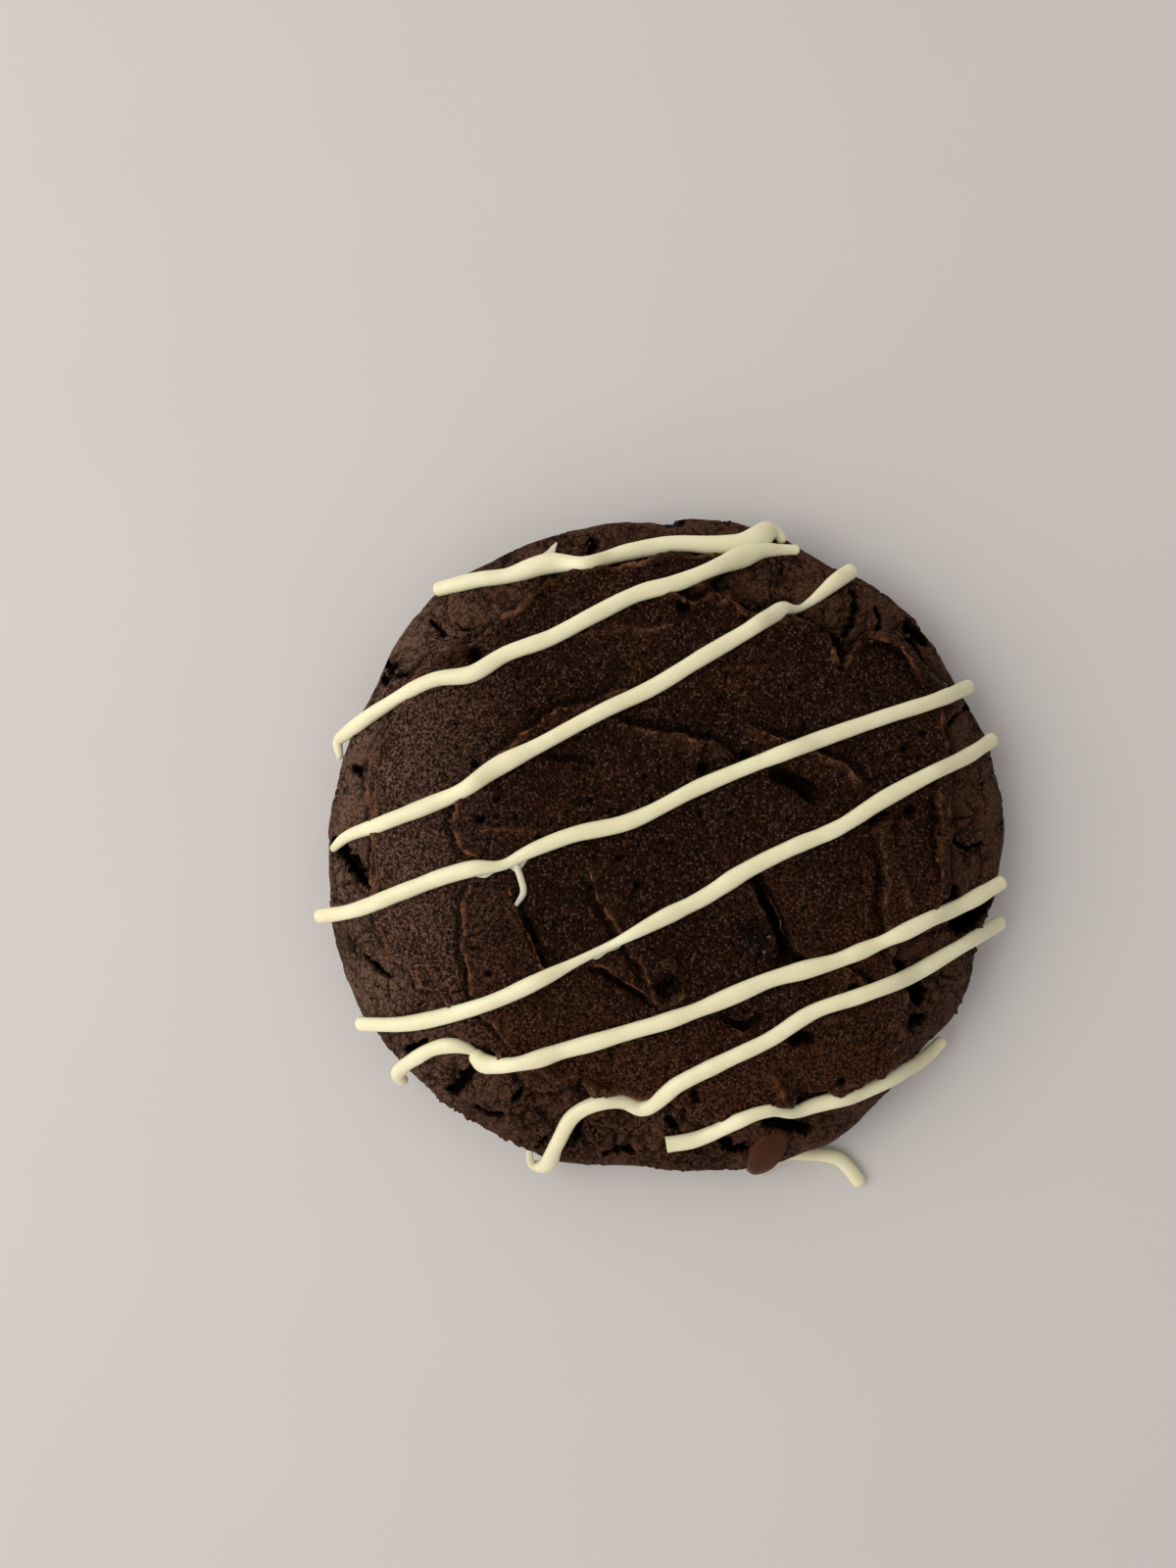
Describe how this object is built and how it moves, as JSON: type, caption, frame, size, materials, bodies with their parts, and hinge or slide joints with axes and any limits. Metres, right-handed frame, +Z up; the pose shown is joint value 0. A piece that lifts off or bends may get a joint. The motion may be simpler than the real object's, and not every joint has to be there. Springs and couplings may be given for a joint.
{
  "type": "mud cake cookie",
  "caption": "Domed round chocolate cookie with a flat underside, knife-spread dark frosting, diagonal strands of white chocolate and a milk chocolate drip on the rim.",
  "frame": {"origin": "the middle of the cookie's flat underside", "axes": "+Z up out of the dome, +Y towards the top edge of the picture, +X towards its right edge"},
  "size_m": [0.0903, 0.0897, 0.0202],
  "materials": {
    "crust": "dry baked chocolate crumb, matt, with fine cracks",
    "frosting": "dark chocolate frosting, grainy, with a slight sheen",
    "white_chocolate": "set white chocolate, smooth and satin",
    "milk_chocolate": "set milk chocolate, smooth and satin"
  },
  "bodies": {
    "root": {"cookie": "crust", "frosting": "frosting", "white_chocolate_strands_1_2": "white_chocolate", "white_chocolate_strand_3": "white_chocolate", "white_chocolate_strand_4": "white_chocolate", "white_chocolate_strand_5": "white_chocolate", "white_chocolate_strand_6": "white_chocolate", "white_chocolate_strand_7": "white_chocolate", "white_chocolate_strand_8": "white_chocolate", "white_chocolate_strand_9": "white_chocolate", "milk_chocolate_drip": "milk_chocolate"}
  },
  "joints": []
}
